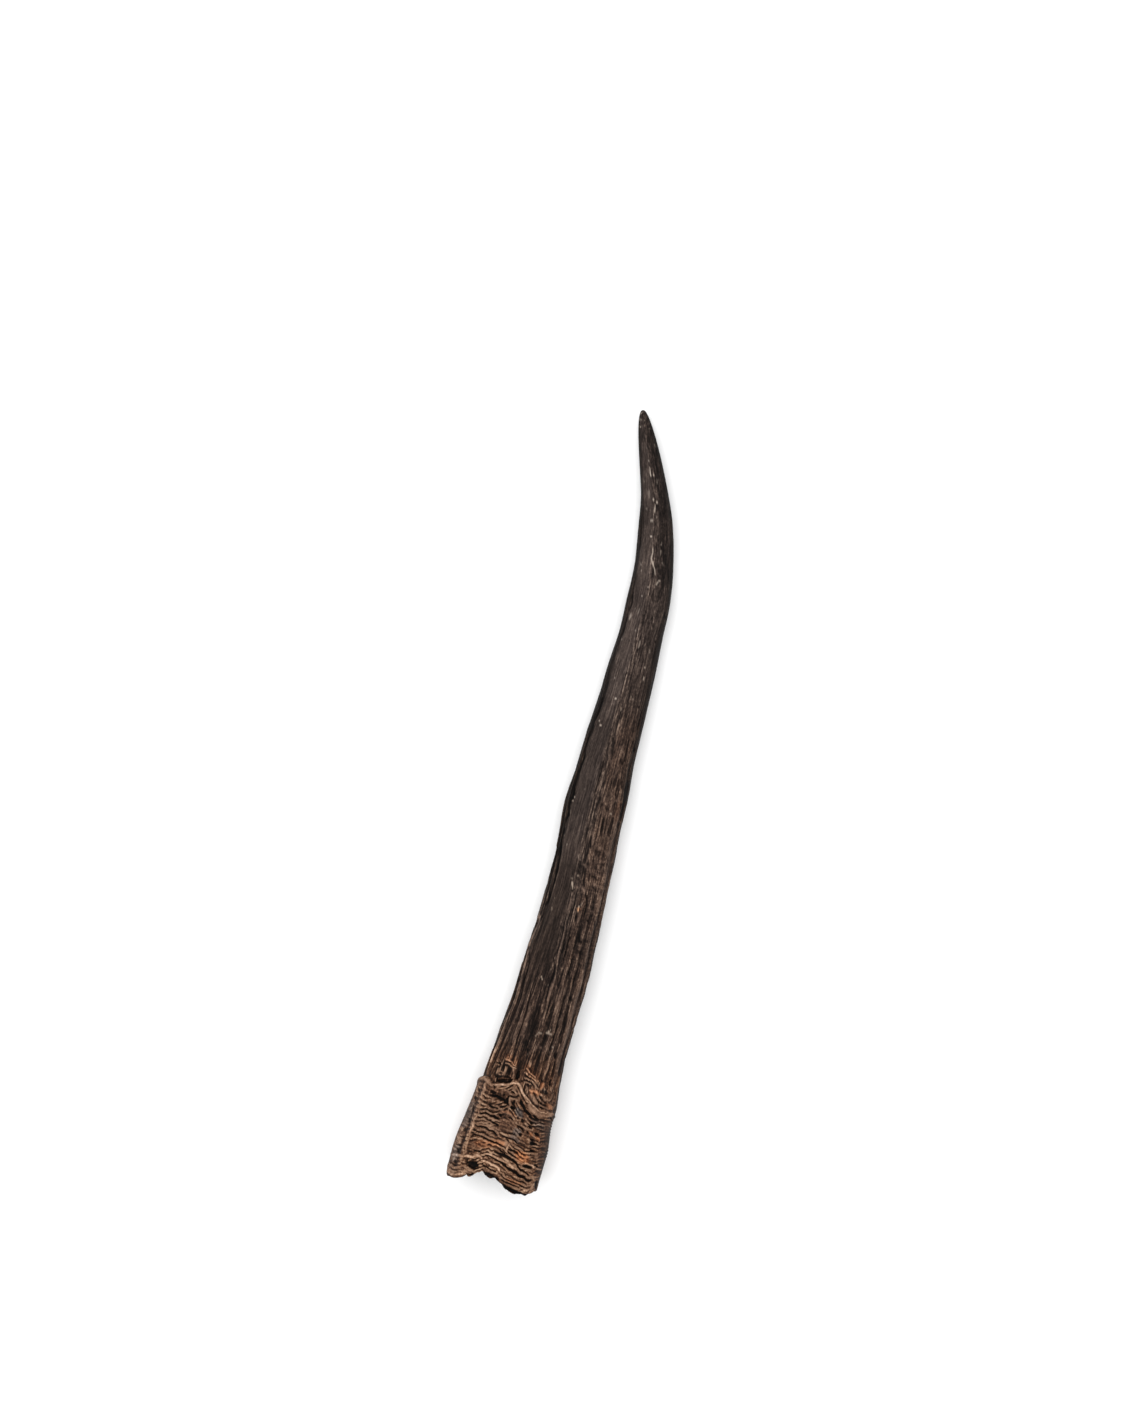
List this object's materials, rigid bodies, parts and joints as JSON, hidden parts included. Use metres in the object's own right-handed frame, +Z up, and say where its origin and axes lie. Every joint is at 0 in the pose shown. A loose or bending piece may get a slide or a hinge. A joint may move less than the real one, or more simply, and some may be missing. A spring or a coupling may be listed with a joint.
{
  "type": "ibex horn",
  "caption": "Loose hollow animal horn, gently curved, with a ringed collar at its ragged open base, lengthwise ridges on the shaft and a blunt tip.",
  "frame": {"origin": "centre of the horn's outline seen from above, on the surface that it lies on", "axes": "+Y from the open base to the tip, along the straight line between them; +Z up; +X to the right, looking from the base to the tip"},
  "size_m": [0.0476, 0.333, 0.0327],
  "materials": {
    "keratin": "matt weathered horn: dark grey-brown, striped lengthwise, with beige and orange-brown worn crests at the base"
  },
  "bodies": {
    "root": {"horn_sheath": "keratin"}
  },
  "joints": []
}
